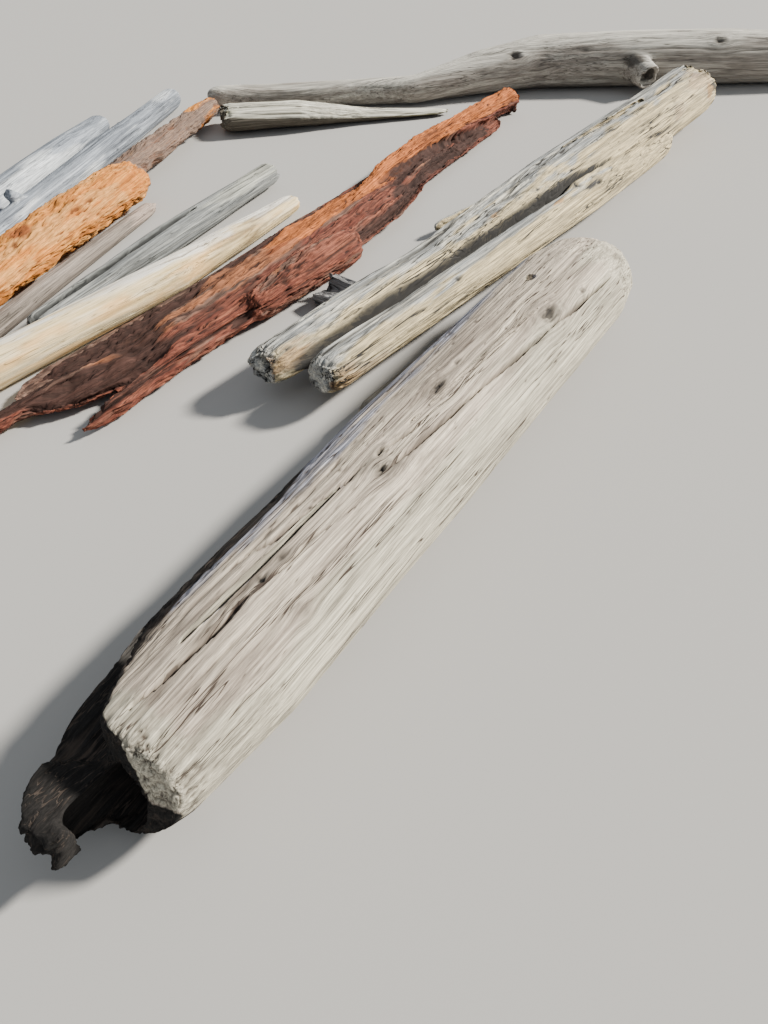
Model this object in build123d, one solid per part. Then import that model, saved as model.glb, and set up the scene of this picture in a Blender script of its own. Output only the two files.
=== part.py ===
"""A heap of weathered driftwood logs: most lie side by side in a row, and one long log and a hollow slab
lie slantwise across their far ends.

Millimetres, +Z up. The row runs along +X from the near ends to the far ends, and is spread along +Y.
Every log rests on the ground at Z = 0 and is slid against the log that it lies against, so that a change
of any girth or length moves its neighbours with it. The logs are lofted through their cross-sections.
"""

from build123d import *
from math import ceil, cos, floor, pi, sin, sqrt
import os

# Seating of one log against the next
SEAT_CLEARANCE = 0.75
SURFACE_TOLERANCE = 0.06
GRID_ACROSS = 5.0
GRID_UP = 3.0
OUTLINE_POINTS = 12
STATION_SPACING = 420.0
CRACK_STAGES = 10

# Forked log: two stems that flow into one trunk, with an open cleft between them
FORK_LENGTH = 3370.0
FORK_STEM_WIDTH = 155.0
FORK_TRUNK_WIDTH = 305.0
FORK_SPLAY = 187.0
FORK_RIGHT_STEM_LAG = 80.0
FORK_RIGHT_STEM_SHORT = 650.0
FORK_START_X = 1435.0
FORK_START_Y = 1346.0
FORK_STEM_LIFT = 42.0
FORK_YAW = -3.0
FORK_CRACK_LENGTH = 1850.0
FORK_CRACK_WIDTH = 10.0
FORK_CRACK_DEPTH = 60.0
SPLINTER_LENGTH = 1150.0
SPLINTER_WIDTH = 58.0
SPLINTER_SPREAD = 170.0

# Small pole, caught between the forked log and the front log
SMALL_POLE_LENGTH = 1230.0
SMALL_POLE_BUTT_WIDTH = 126.0
SMALL_POLE_WIDTH = 84.0
SMALL_POLE_START_X = 1490.0
SMALL_POLE_START_Y = 1190.0
SMALL_POLE_YAW = 1.5

# Front log: a wave-worn spar with a rotted, broken near end
FRONT_LENGTH = 2560.0
FRONT_NEAR_WIDTH = 375.0
FRONT_MIDDLE_WIDTH = 404.0
FRONT_FAR_WIDTH = 405.0
FRONT_FLATNESS = 0.75
FRONT_TAPER = 480.0
FRONT_NOSE = 300.0
FRONT_START_X = 95.0
FRONT_START_Y = 740.0
FRONT_YAW = 1.2
BROKEN_END_SETBACK = 100.0
BROKEN_END_LEAN = 20.0
BROKEN_LIP_SETBACK = 185.0
BROKEN_LEDGE_LENGTH = 420.0
HEART_ROT_DEPTH = 330.0
HEART_ROT_WIDTH = 140.0
CHECK_WIDTH = 9.0
CHECK_DEPTH = 55.0
FAR_CHECK_LENGTH = 1750.0
NEAR_CHECK_LENGTH = 820.0
KNOT_HOLE_RADIUS = 16.0
KNOT_HOLE_DEPTH = 30.0

# Grey block: a broken end of split timber, wedged between the forked log and the red log
BLOCK_LENGTH = 150.0
BLOCK_WIDTH = 215.0
BLOCK_HEIGHT = 85.0
BLOCK_START_X = 1990.0
BLOCK_START_Y = 1590.0

# Red log: half a rotted cedar, hollowed to a trough between a ridge and a broken rail
RED_LENGTH = 3700.0
RED_RIDGE_NEAR_WIDTH = 88.0
RED_RIDGE_FAR_WIDTH = 135.0
RED_RIDGE_HEIGHT = 155.0
RED_RAIL_WIDTH = 105.0
RED_RAIL_HEIGHT = 125.0
RED_LUMP_WIDTH = 160.0
RED_LUMP_HEIGHT = 165.0
RED_FLOOR_HEIGHT = 78.0
RED_TROUGH_WIDTH = 250.0
RED_SWEEP = 150.0
RED_BED_DEPTH = 10.0
RED_START_X = 650.0
RED_START_Y = 2035.0

# Pale pole, smooth and bowed
PALE_POLE_LENGTH = 2450.0
PALE_POLE_NEAR_WIDTH = 160.0
PALE_POLE_MIDDLE_WIDTH = 146.0
PALE_POLE_FAR_WIDTH = 88.0
PALE_POLE_BOW = 115.0
PALE_POLE_START_X = 180.0
PALE_POLE_START_Y = 2330.0

# Grey pole, split open along half its length
GREY_POLE_LENGTH = 1560.0
GREY_POLE_NEAR_WIDTH = 112.0
GREY_POLE_WIDTH = 136.0
GREY_POLE_START_X = 1260.0
GREY_POLE_START_Y = 2384.0
GREY_POLE_YAW = 7.5
GREY_SPLIT_LENGTH = 950.0
GREY_SPLIT_WIDTH = 18.0

# Hollow slab, its tip near the red log and its back towards the cross log
SLAB_LENGTH = 1310.0
SLAB_NEAR_WIDTH = 265.0
SLAB_FLATNESS = 0.52
SLAB_FAR_WIDTH = 80.0
SLAB_HOLLOW_DEPTH = 300.0
SLAB_HOLLOW_WIDTH = 88.0
SLAB_START_X = 3170.0
SLAB_START_Y = 3330.0
SLAB_YAW = -44.3

# Cross log, lying behind the far ends of the others
CROSS_LENGTH = 4300.0
CROSS_THIN_WIDTH = 140.0
CROSS_THICK_WIDTH = 312.0
CROSS_ELBOW_OFFSET = 150.0
CROSS_START_X = 3446.0
CROSS_START_Y = 3554.0
CROSS_YAW = -47.3
BRANCH_STUB_WIDTH = 190.0
BRANCH_STUB_LENGTH = 110.0
BRANCH_STUB_PLACE = 2470.0
BRANCH_HOLLOW_WIDTH = 110.0
BRANCH_HOLLOW_DEPTH = 90.0

# Thin pole, half lost between the grey pole and the orange log
THIN_POLE_LENGTH = 1560.0
THIN_POLE_WIDTH = 84.0
THIN_POLE_START_X = 760.0
THIN_POLE_START_Y = 2405.0
THIN_POLE_YAW = 16.0

# Orange log: a rotted butt on a slender core of sound wood
ORANGE_BUTT_LENGTH = 1660.0
ORANGE_BUTT_WIDTH = 285.0
ORANGE_CORE_WIDTH = 165.0
ORANGE_CORE_REACH = 1080.0
ORANGE_CORE_OFFSET = 84.0
ORANGE_START_X = 750.0
ORANGE_START_Y = 2530.0
ORANGE_YAW = 15.5

# Silver poles
SILVER_POLE_LENGTH = 2640.0
SILVER_POLE_WIDTH = 136.0
SILVER_POLE_START_X = 830.0
SILVER_POLE_START_Y = 2810.0
SILVER_POLE_YAW = 22.0
SILVER_STUB_WIDTH = 62.0
SILVER_STUB_LENGTH = 95.0
SHORT_SILVER_LENGTH = 2000.0
SHORT_SILVER_WIDTH = 168.0
SHORT_SILVER_START_X = 925.0
SHORT_SILVER_START_Y = 2990.0
SHORT_SILVER_YAW = 23.5


def blend(values, share):
    """The value at a share of the way along evenly spaced values, eased between them."""
    place = min(max(share, 0.0), 1.0) * (len(values) - 1)
    index = min(int(place), len(values) - 2)
    t = place - index
    return values[index] + (values[index + 1] - values[index]) * t * t * (3 - 2 * t)


def outline(x, y, z, width, height, flute, turn):
    """One cross-section of a log: an oval in the YZ plane, with shallow flutes that turn along the log."""
    points = []
    for k in range(OUTLINE_POINTS):
        a = 2 * pi * k / OUTLINE_POINTS
        swell = 1 + flute * (cos(2 * a + 0.7 * turn) + 0.7 * cos(3 * a - turn))
        points.append((x, y + width / 2 * swell * cos(a), z + height / 2 * swell * sin(a)))
    return Wire(Spline(*points, periodic=True))


def stations(length, near_cap, far_cap, end_share):
    """Where the cross-sections stand along a log, with the share of the full girth at each.

    Each worn end is a blunt dome, and the rest is divided evenly.
    """
    steps = (0.0, 0.12, 0.45, 1.0)
    dome = [(s, sqrt(1 - (1 - s) ** 2 * (1 - end_share**2))) for s in steps]
    span = length - near_cap - far_cap
    bays = max(ceil(span / STATION_SPACING), 2)
    middle = [(near_cap + span * i / bays, 1.0) for i in range(1, bays)]
    return ([(near_cap * s, g) for s, g in dome] + middle
            + [(length - far_cap * s, g) for s, g in reversed(dome)])


def stem(length, widths, flatness=0.95, offsets=(0.0, 0.0), flute=0.03, turn=0.0,
         near_cap=60.0, far_cap=60.0, end_share=0.6, lifts=(0.0, 0.0)):
    """A tapered round of wood lying along +X, lofted through its cross-sections.

    widths are spread evenly along it, offsets carry its centreline sideways, and lifts raise its belly.
    """
    wires = []
    for x, cap in stations(length, near_cap, far_cap, end_share):
        share = x / length
        width = blend(widths, share)
        height = width * flatness
        centre = height / 2 + blend(lifts, share)
        wires.append(outline(x, blend(offsets, share), centre, width * cap, height * cap, flute,
                             turn + 2.4 * share))
    return Solid.make_loft(wires, True)


def crack(start_x, length, y, yaw, top, depth, width, sway):
    """A drying crack to be cut: pointed at both ends, wandering a little from side to side."""
    stages = range(CRACK_STAGES + 1)
    middle = [(length * i / CRACK_STAGES, sway * sin(1.7 * pi * i / CRACK_STAGES)) for i in stages]
    halves = [width / 2 * sin(pi * i / CRACK_STAGES) for i in stages]
    left = [(x, m + h) for (x, m), h in zip(middle, halves)]
    right = [(x, m - h) for (x, m), h in zip(middle, halves)]
    mouth = make_face(Polyline(*left, *right[-2:0:-1], close=True))
    return Pos(start_x, y, top - depth) * Rot(0, 0, yaw) * extrude(mouth, depth * 3)


def rest(piece):
    """The piece, lowered or raised until its lowest point is on the ground."""
    return Pos(0, 0, -piece.bounding_box().min.Z) * piece


def aimed(piece, start_x, start_y, yaw=0.0):
    """The piece, turned about its near end and carried to its place in the row."""
    return rest(Pos(start_x, start_y, 0) * Rot(0, 0, yaw) * piece)


def side_profile(piece, direction, front, rows):
    """How far the surface of a piece reaches along direction, at points of a grid square to it.

    With front it is the side that leads the way, otherwise the side that faces anything coming. Only
    the grid's rows between the two given are looked at.
    """
    vertices, triangles = piece.tessellate(SURFACE_TOLERANCE)
    points = [(v.Y * direction.X - v.X * direction.Y, v.Z, v.X * direction.X + v.Y * direction.Y)
              for v in vertices]
    reach = {}
    for triangle in triangles:
        corners = [points[i] for i in triangle]
        low = max(ceil(min(c[0] for c in corners) / GRID_ACROSS), rows[0])
        high = min(floor(max(c[0] for c in corners) / GRID_ACROSS), rows[1])
        for i in range(low, high + 1):
            across = i * GRID_ACROSS
            hits = []
            for j in range(3):
                (s0, z0, t0), (s1, z1, t1) = corners[j], corners[j - 1]
                if (s0 - across) * (s1 - across) <= 0 and s0 != s1:
                    part = (across - s0) / (s1 - s0)
                    hits.append((z0 + (z1 - z0) * part, t0 + (t1 - t0) * part))
            if len(hits) < 2:
                continue
            (z0, t0), (z1, t1) = min(hits), max(hits)
            for k in range(ceil(z0 / GRID_UP), floor(z1 / GRID_UP) + 1):
                t = t0 + (t1 - t0) * (k * GRID_UP - z0) / (z1 - z0) if z1 > z0 else t0
                held = reach.get((i, k))
                if held is None or (t > held if front else t < held):
                    reach[i, k] = t
    return reach


def seat_shift(piece, neighbours, direction):
    """How far the piece slides along direction until it lies one seat clearance from a neighbour."""
    ranges = {}
    for item in [piece, *neighbours]:
        corners = item.bounding_box()
        sides = [y * direction.X - x * direction.Y for x in (corners.min.X, corners.max.X)
                 for y in (corners.min.Y, corners.max.Y)]
        ranges[id(item)] = (floor(min(sides) / GRID_ACROSS), ceil(max(sides) / GRID_ACROSS))
    own = ranges[id(piece)]
    gaps = []
    for other in neighbours:
        rows = (max(own[0], ranges[id(other)][0]), min(own[1], ranges[id(other)][1]))
        leading = side_profile(piece, direction, True, rows)
        facing = side_profile(other, direction, False, rows)
        gaps += [facing[place] - leading[place] for place in leading if place in facing]
    return direction * (min(gaps) - SEAT_CLEARANCE)


def seated(piece, neighbours, direction):
    """The piece, slid along direction until it lies against one of its neighbours."""
    return Pos(*seat_shift(piece, neighbours, Vector(*direction).normalized())) * piece


def forked_log():
    """Two stems whose centres draw together, so that the cleft between them closes into a crease."""
    left = stem(FORK_LENGTH, [FORK_STEM_WIDTH, FORK_STEM_WIDTH * 1.25, FORK_TRUNK_WIDTH * 0.95,
                              FORK_TRUNK_WIDTH, FORK_TRUNK_WIDTH * 1.05],
                flatness=0.9, offsets=[FORK_SPLAY * s for s in (0.52, 0.34, 0.14, 0.1, 0.1)], flute=0.035,
                near_cap=80, far_cap=45, end_share=0.7, lifts=(FORK_STEM_LIFT, 0.0, 0.0))
    right = stem(FORK_LENGTH - FORK_RIGHT_STEM_LAG - FORK_RIGHT_STEM_SHORT,
                 [FORK_STEM_WIDTH * s for s in (0.95, 1.0, 1.06, 1.0)],
                 flatness=1.0, offsets=[-FORK_SPLAY * s for s in (0.46, 0.58, 0.64, 0.5)], flute=0.04,
                 turn=1.6, near_cap=70, far_cap=50, end_share=0.7,
                 lifts=(FORK_STEM_LIFT, FORK_STEM_LIFT * 0.8, 0.0))
    splinter = stem(SPLINTER_LENGTH, [SPLINTER_WIDTH * 0.7, SPLINTER_WIDTH, SPLINTER_WIDTH * 1.1],
                    flatness=1.5, offsets=[SPLINTER_SPREAD, SPLINTER_SPREAD * 0.35, 0.0],
                    near_cap=50, far_cap=80, end_share=0.4, lifts=(0.0, 30.0))
    side = FORK_TRUNK_WIDTH * 0.45
    log = left + Pos(FORK_RIGHT_STEM_LAG, 0, 0) * right + Pos(FORK_LENGTH * 0.38, side, 12) * splinter
    top = FORK_TRUNK_WIDTH * 0.9
    log -= crack(FORK_LENGTH * 0.4, FORK_CRACK_LENGTH, 66, -1.2, top, FORK_CRACK_DEPTH, FORK_CRACK_WIDTH, 8)
    notch = Pos(FORK_LENGTH, -FORK_SPLAY * 0.12, top) * Rot(0, 0, 45) * Box(95, 95, top * 1.1)
    return aimed(log - notch, FORK_START_X, FORK_START_Y, FORK_YAW)


def small_pole():
    """A slender pole with a blunt far end."""
    pole = stem(SMALL_POLE_LENGTH, [SMALL_POLE_BUTT_WIDTH, SMALL_POLE_WIDTH * 1.1, SMALL_POLE_WIDTH],
                flatness=0.96, flute=0.025, near_cap=40, far_cap=30, end_share=0.75)
    return aimed(pole, SMALL_POLE_START_X, SMALL_POLE_START_Y, SMALL_POLE_YAW)


def front_hull():
    """The spar before its end is broken and its heart rots out."""
    return stem(FRONT_LENGTH, [FRONT_NEAR_WIDTH, FRONT_MIDDLE_WIDTH * 0.94, FRONT_MIDDLE_WIDTH,
                               FRONT_FAR_WIDTH, FRONT_FAR_WIDTH], flatness=FRONT_FLATNESS,
                flute=0.02, turn=0.4, near_cap=FRONT_TAPER, far_cap=FRONT_NOSE, end_share=0.42)


def front_cuts():
    """The broken near end, the hollow heart behind it, the drying cracks and the knot holes."""
    top = FRONT_MIDDLE_WIDTH * FRONT_FLATNESS
    beyond = FRONT_MIDDLE_WIDTH * 2
    right = Pos(BROKEN_END_SETBACK, 0, 0) * Rot(0, BROKEN_END_LEAN, 10) \
        * Box(beyond, beyond, beyond, align=(Align.MAX, Align.MAX, Align.CENTER))
    lip = Pos(BROKEN_LIP_SETBACK, 0, top * 0.5) * Rot(0, 8, -12) \
        * Box(beyond, beyond, beyond, align=(Align.MAX, Align.CENTER, Align.MIN))
    ledge = Pos(BROKEN_LIP_SETBACK, FRONT_MIDDLE_WIDTH * 0.08, top * 0.46) * Rot(0, -12, 28) \
        * Box(BROKEN_LEDGE_LENGTH, beyond, beyond, align=(Align.MIN, Align.MIN, Align.MIN))
    heart = Pos(BROKEN_END_SETBACK * 0.6, -FRONT_MIDDLE_WIDTH * 0.06, top * 0.36) * Rot(0, 90, 0) \
        * Cone(HEART_ROT_WIDTH / 2, HEART_ROT_WIDTH / 5, HEART_ROT_DEPTH,
               align=(Align.CENTER, Align.CENTER, Align.MIN))
    far_check = crack(FRONT_LENGTH * 0.28, FAR_CHECK_LENGTH, 2, -2.2, top, CHECK_DEPTH, CHECK_WIDTH, 7)
    near_check = crack(FRONT_LENGTH * 0.1, NEAR_CHECK_LENGTH, 42, -3.0, top - 14, CHECK_DEPTH,
                       CHECK_WIDTH * 1.4, -6)
    knots = [Pos(x * FRONT_LENGTH, y, top) * Cylinder(KNOT_HOLE_RADIUS * r, KNOT_HOLE_DEPTH * 2)
             for x, y, r in ((0.8, 62, 1.2), (0.86, 22, 0.6), (0.53, 92, 0.8))]
    return [right, lip, ledge, heart, far_check, near_check] + knots


def grey_block():
    """A stub of split timber with bevelled edges and a broken, slanting top."""
    block = chamfer(Box(BLOCK_LENGTH, BLOCK_WIDTH, BLOCK_HEIGHT,
                        align=(Align.MIN, Align.CENTER, Align.MIN)).edges(), 14)
    slant = Pos(0, BLOCK_WIDTH * 0.3, BLOCK_HEIGHT) * Rot(-12, 10, 0) \
        * Box(BLOCK_LENGTH * 1.4, BLOCK_WIDTH, BLOCK_HEIGHT * 0.5)
    return aimed(block - slant, BLOCK_START_X, BLOCK_START_Y, FORK_YAW)


def red_log():
    """A ridge the whole length, a low rotted floor, and a rail that survives in three lengths."""
    ends = [RED_SWEEP * s for s in (0.1, -0.4, -0.15, 0.7, 0.35)]
    ridge_heights = RED_RIDGE_HEIGHT / RED_RIDGE_FAR_WIDTH
    ridge = stem(RED_LENGTH, [RED_RIDGE_NEAR_WIDTH, RED_RIDGE_NEAR_WIDTH * 1.05,
                              RED_RIDGE_NEAR_WIDTH * 1.15, RED_RIDGE_FAR_WIDTH * 0.93,
                              RED_RIDGE_FAR_WIDTH], flatness=ridge_heights, offsets=ends, flute=0.05,
                 near_cap=60, far_cap=40, end_share=0.7)
    floor = stem(RED_LENGTH * 0.86, [RED_TROUGH_WIDTH * s for s in (1.1, 1.55, 1.6, 1.2, 0.55)],
                 flatness=RED_FLOOR_HEIGHT / RED_TROUGH_WIDTH,
                 offsets=[e - RED_TROUGH_WIDTH * s for e, s in zip(ends, (0.1, 0.18, 0.22, 0.34, 0.15))],
                 flute=0.04, turn=0.8,
                 near_cap=190, far_cap=150, end_share=0.3)
    rail = stem(RED_LENGTH * 0.22, [RED_RAIL_WIDTH * s for s in (0.65, 1.0, 1.05, 0.9)],
                flatness=RED_RAIL_HEIGHT / RED_RAIL_WIDTH,
                offsets=[RED_TROUGH_WIDTH * s for s in (-0.95, -0.93, -0.9, -0.9)],
                flute=0.05, near_cap=120, far_cap=50, end_share=0.35)
    lump = stem(RED_LENGTH * 0.19, [RED_LUMP_WIDTH * s for s in (0.85, 1.05, 0.9)],
                flatness=RED_LUMP_HEIGHT / RED_LUMP_WIDTH,
                offsets=[RED_TROUGH_WIDTH * s for s in (-0.95, -0.98)], flute=0.06, turn=2.0,
                near_cap=90, far_cap=70, end_share=0.35)
    crumb = stem(RED_LENGTH * 0.24, [RED_RAIL_WIDTH * s for s in (1.0, 1.2, 1.1, 0.9)],
                 flatness=0.95, offsets=[RED_TROUGH_WIDTH * s for s in (-0.45, -0.25, -0.15)], flute=0.07,
                 turn=1.0, near_cap=80, far_cap=60, end_share=0.4)
    log = ridge + Pos(RED_LENGTH * 0.08, 0, 0) * floor + Pos(RED_LENGTH * 0.09, 0, 0) * rail \
        + Pos(RED_LENGTH * 0.29, 0, 0) * lump + Pos(RED_LENGTH * 0.555, 0, 0) * crumb
    log = aimed(log, RED_START_X, RED_START_Y)
    bed = Box(RED_LENGTH * 1.2, RED_TROUGH_WIDTH * 4, RED_BED_DEPTH,
              align=(Align.MIN, Align.CENTER, Align.MIN))
    return rest(log - Pos(RED_START_X - 100, RED_START_Y, 0) * bed)


def pale_pole():
    """A smooth pole, bowed towards the red log."""
    bow = [-PALE_POLE_BOW * s for s in (0.0, 0.62, 1.0, 0.36)]
    pole = stem(PALE_POLE_LENGTH, [PALE_POLE_NEAR_WIDTH, PALE_POLE_MIDDLE_WIDTH, PALE_POLE_MIDDLE_WIDTH,
                                   PALE_POLE_FAR_WIDTH], flatness=0.97, offsets=bow, flute=0.02,
                near_cap=50, far_cap=60, end_share=0.65)
    return aimed(pole, PALE_POLE_START_X, PALE_POLE_START_Y)


def grey_hull():
    """The grey pole before it splits."""
    pole = stem(GREY_POLE_LENGTH, [GREY_POLE_NEAR_WIDTH, GREY_POLE_WIDTH, GREY_POLE_WIDTH * 0.9],
                flatness=0.9, flute=0.03, near_cap=45, far_cap=50, end_share=0.7)
    return aimed(pole, GREY_POLE_START_X, GREY_POLE_START_Y, GREY_POLE_YAW)


def thin_pole():
    """A slender pole with a slanting, broken far end."""
    pole = stem(THIN_POLE_LENGTH, [THIN_POLE_WIDTH, THIN_POLE_WIDTH * 1.05, THIN_POLE_WIDTH * 0.8],
                flatness=0.9, flute=0.04, turn=0.9, near_cap=40, far_cap=70, end_share=0.45)
    return aimed(pole, THIN_POLE_START_X, THIN_POLE_START_Y, THIN_POLE_YAW)


def grey_split():
    """The open split that runs in from the near end of the grey pole."""
    blade = Box(GREY_SPLIT_LENGTH * 2, GREY_SPLIT_WIDTH, GREY_POLE_WIDTH * 2)
    tip = Pos(GREY_SPLIT_LENGTH, 0, 0) * Cylinder(GREY_SPLIT_WIDTH / 2, GREY_POLE_WIDTH * 2)
    return Pos(GREY_POLE_START_X, GREY_POLE_START_Y, GREY_POLE_WIDTH * 1.25) * Rot(0, 0, GREY_POLE_YAW) \
        * (blade + tip)


def slab_hull():
    """The slab before it is hollowed: broad and round at one end, thin and flat at the other."""
    slab = stem(SLAB_LENGTH, [SLAB_NEAR_WIDTH, SLAB_NEAR_WIDTH * 0.93, SLAB_FAR_WIDTH * 1.5,
                              SLAB_FAR_WIDTH], flatness=SLAB_FLATNESS, flute=0.04, turn=0.5, near_cap=60,
                far_cap=90, end_share=0.5)
    return aimed(slab, SLAB_START_X, SLAB_START_Y, SLAB_YAW)


def slab_hollow():
    """The cave in the broad end of the slab."""
    cave = Rot(0, 90, 0) * Cone(SLAB_HOLLOW_WIDTH / 2, SLAB_HOLLOW_WIDTH / 5, SLAB_HOLLOW_DEPTH,
                                align=(Align.CENTER, Align.CENTER, Align.MIN))
    return Pos(SLAB_START_X, SLAB_START_Y, SLAB_NEAR_WIDTH * SLAB_FLATNESS * 0.5) * Rot(0, 0, SLAB_YAW) \
        * Pos(-5, 0, 0) * cave


def cross_log():
    """Slender as far as its elbow, then stout, with a hollow broken branch on the side of the row."""
    log = stem(CROSS_LENGTH, [CROSS_THIN_WIDTH, CROSS_THIN_WIDTH * 0.96, CROSS_THIN_WIDTH * 1.15,
                              CROSS_THICK_WIDTH * 0.95, CROSS_THICK_WIDTH, CROSS_THICK_WIDTH,
                              CROSS_THICK_WIDTH * 0.92, CROSS_THICK_WIDTH * 0.88],
               flatness=0.96, offsets=[0, 0, -CROSS_ELBOW_OFFSET * 0.3, CROSS_ELBOW_OFFSET,
                                       CROSS_ELBOW_OFFSET * 0.7, CROSS_ELBOW_OFFSET * 0.3, 0, 0],
               flute=0.025, near_cap=18, far_cap=6, end_share=0.9)
    stub = Rot(90, 0, 0) * Cone(BRANCH_STUB_WIDTH / 2, BRANCH_STUB_WIDTH * 0.36,
                                CROSS_THICK_WIDTH / 2 + BRANCH_STUB_LENGTH,
                                align=(Align.CENTER, Align.CENTER, Align.MIN))
    stub_place = Pos(BRANCH_STUB_PLACE, CROSS_ELBOW_OFFSET * 0.6, CROSS_THICK_WIDTH * 0.52) \
        * Rot(0, 0, 22) * Rot(12, 0, 0)
    hollow = Pos(0, -CROSS_THICK_WIDTH / 2 - BRANCH_STUB_LENGTH + BRANCH_HOLLOW_DEPTH, 0) \
        * Rot(90, 0, 0) * Cone(BRANCH_HOLLOW_WIDTH / 4, BRANCH_HOLLOW_WIDTH / 2, BRANCH_HOLLOW_DEPTH + 1,
                               align=(Align.CENTER, Align.CENTER, Align.MIN))
    log = log + stub_place * stub - stub_place * hollow
    return aimed(log, CROSS_START_X, CROSS_START_Y, CROSS_YAW)


def orange_log():
    """The slender core runs on out of the rotted butt, along its left side."""
    core = stem(ORANGE_BUTT_LENGTH * 0.75 + ORANGE_CORE_REACH,
                [ORANGE_CORE_WIDTH * s for s in (1.0, 1.05, 1.0, 0.78)], flatness=0.95,
                offsets=[0, ORANGE_CORE_OFFSET, ORANGE_CORE_OFFSET * 1.5, ORANGE_CORE_OFFSET * 2.1],
                near_cap=60, far_cap=60, flute=0.04, end_share=0.6)
    butt = stem(ORANGE_BUTT_LENGTH, [ORANGE_BUTT_WIDTH * s for s in (0.72, 0.82, 0.92, 1.0, 0.9)],
                flatness=0.75, flute=0.05, turn=1.1, near_cap=70, far_cap=140, end_share=0.45)
    log = butt + Pos(ORANGE_BUTT_LENGTH * 0.25, 0, 0) * core
    return aimed(log, ORANGE_START_X, ORANGE_START_Y, ORANGE_YAW)


def silver_pole():
    """A long pole with the stub of one branch standing up from it."""
    pole = stem(SILVER_POLE_LENGTH, [SILVER_POLE_WIDTH * s for s in (0.95, 1.0, 1.0, 0.88)],
                flatness=0.97, flute=0.03, near_cap=50, far_cap=50, end_share=0.65)
    stub = Pos(SILVER_POLE_LENGTH * 0.41, SILVER_POLE_WIDTH * 0.1, SILVER_POLE_WIDTH * 0.6) \
        * Rot(0, -48, 20) * Cone(SILVER_STUB_WIDTH * 0.6, SILVER_STUB_WIDTH * 0.36,
                                 SILVER_POLE_WIDTH * 0.3 + SILVER_STUB_LENGTH,
                                 align=(Align.CENTER, Align.CENTER, Align.MIN))
    return aimed(pole + stub, SILVER_POLE_START_X, SILVER_POLE_START_Y, SILVER_POLE_YAW)


def short_silver_pole():
    """A blunter pole whose far end is broken away underneath."""
    pole = stem(SHORT_SILVER_LENGTH, [SHORT_SILVER_WIDTH, SHORT_SILVER_WIDTH,
                                      SHORT_SILVER_WIDTH * 0.92, SHORT_SILVER_WIDTH * 0.7],
                flatness=0.95, flute=0.035, near_cap=50, far_cap=45, end_share=0.7)
    return aimed(pole, SHORT_SILVER_START_X, SHORT_SILVER_START_Y, SHORT_SILVER_YAW)


def heap():
    """Every log in its place, keyed by node name, before the heap is centred."""
    fork = forked_log()
    small = seated(small_pole(), [fork], (0, 1, 0))
    front_place = aimed(front_hull(), FRONT_START_X, FRONT_START_Y, FRONT_YAW)
    front_shift = seat_shift(front_place, [small, fork], Vector(0, 1, 0))
    ground_drop = Pos(0, 0, -front_hull().bounding_box().min.Z)
    front = Pos(*front_shift) * front_place
    for cut in front_cuts():
        front -= Pos(*front_shift) * Pos(FRONT_START_X, FRONT_START_Y, 0) * Rot(0, 0, FRONT_YAW) \
            * ground_drop * cut
    block = seated(grey_block(), [fork], (0, -1, 0))
    red = seated(red_log(), [block, fork], (0, -1, 0))
    pale = seated(pale_pole(), [red], (0, -1, 0))
    grey_place = grey_hull()
    grey_shift = seat_shift(grey_place, [pale, red], Vector(0, -1, 0))
    grey = Pos(*grey_shift) * (grey_place - grey_split())
    thin = seated(thin_pole(), [grey, pale], (0, -1, 0))
    orange = seated(orange_log(), [thin, grey], (0, -1, 0))
    silver = seated(silver_pole(), [orange], (0.35, -0.94, 0))
    short_silver = seated(short_silver_pole(), [silver, orange], (0.35, -0.94, 0))
    slab_place = slab_hull()
    slab_shift = seat_shift(slab_place, [orange], Vector(0, 1, 0))
    slab = Pos(*slab_shift) * (slab_place - slab_hollow())
    cross = seated(cross_log(), [slab, silver, orange, red, fork], (-0.735, -0.678, 0))
    return {"forked_log": fork, "small_pole": small, "front_log": front, "grey_block": block,
            "red_log": red, "pale_pole": pale, "grey_pole": grey, "thin_pole": thin,
            "hollow_slab": slab,
            "cross_log": cross, "orange_log": orange, "silver_pole": silver,
            "short_silver_pole": short_silver}


def centre_shift(logs):
    """The move that brings the middle of the heap's footprint to the origin."""
    boxes = [piece.bounding_box() for piece in logs.values()]
    low_x, high_x = min(b.min.X for b in boxes), max(b.max.X for b in boxes)
    low_y, high_y = min(b.min.Y for b in boxes), max(b.max.Y for b in boxes)
    return (-(low_x + high_x) / 2, -(low_y + high_y) / 2, 0.0)


def main():
    logs = heap()
    shift = Pos(*centre_shift(logs))
    os.makedirs("parts", exist_ok=True)
    for name, piece in logs.items():
        export_step(shift * piece, f"parts/{name}.step")


if __name__ == "__main__":
    main()
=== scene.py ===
"""Looks for the heap of driftwood logs: each log gets a skin with grain, knots, checks and broken ends.

Metres, in the frame of the solids. Each skin is a fine copy of a solid's surface. It is cut, dented and
marked in the log's own axes, and its wood reads the grain and the marks that the skin stores. Places on a
log are often given as pixels of the picture that the camera sees.
"""

from itertools import product
from math import radians, sqrt

import bmesh
import bpy
import numpy as np
from mathutils import Matrix, Vector
from mathutils.bvhtree import BVHTree


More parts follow.
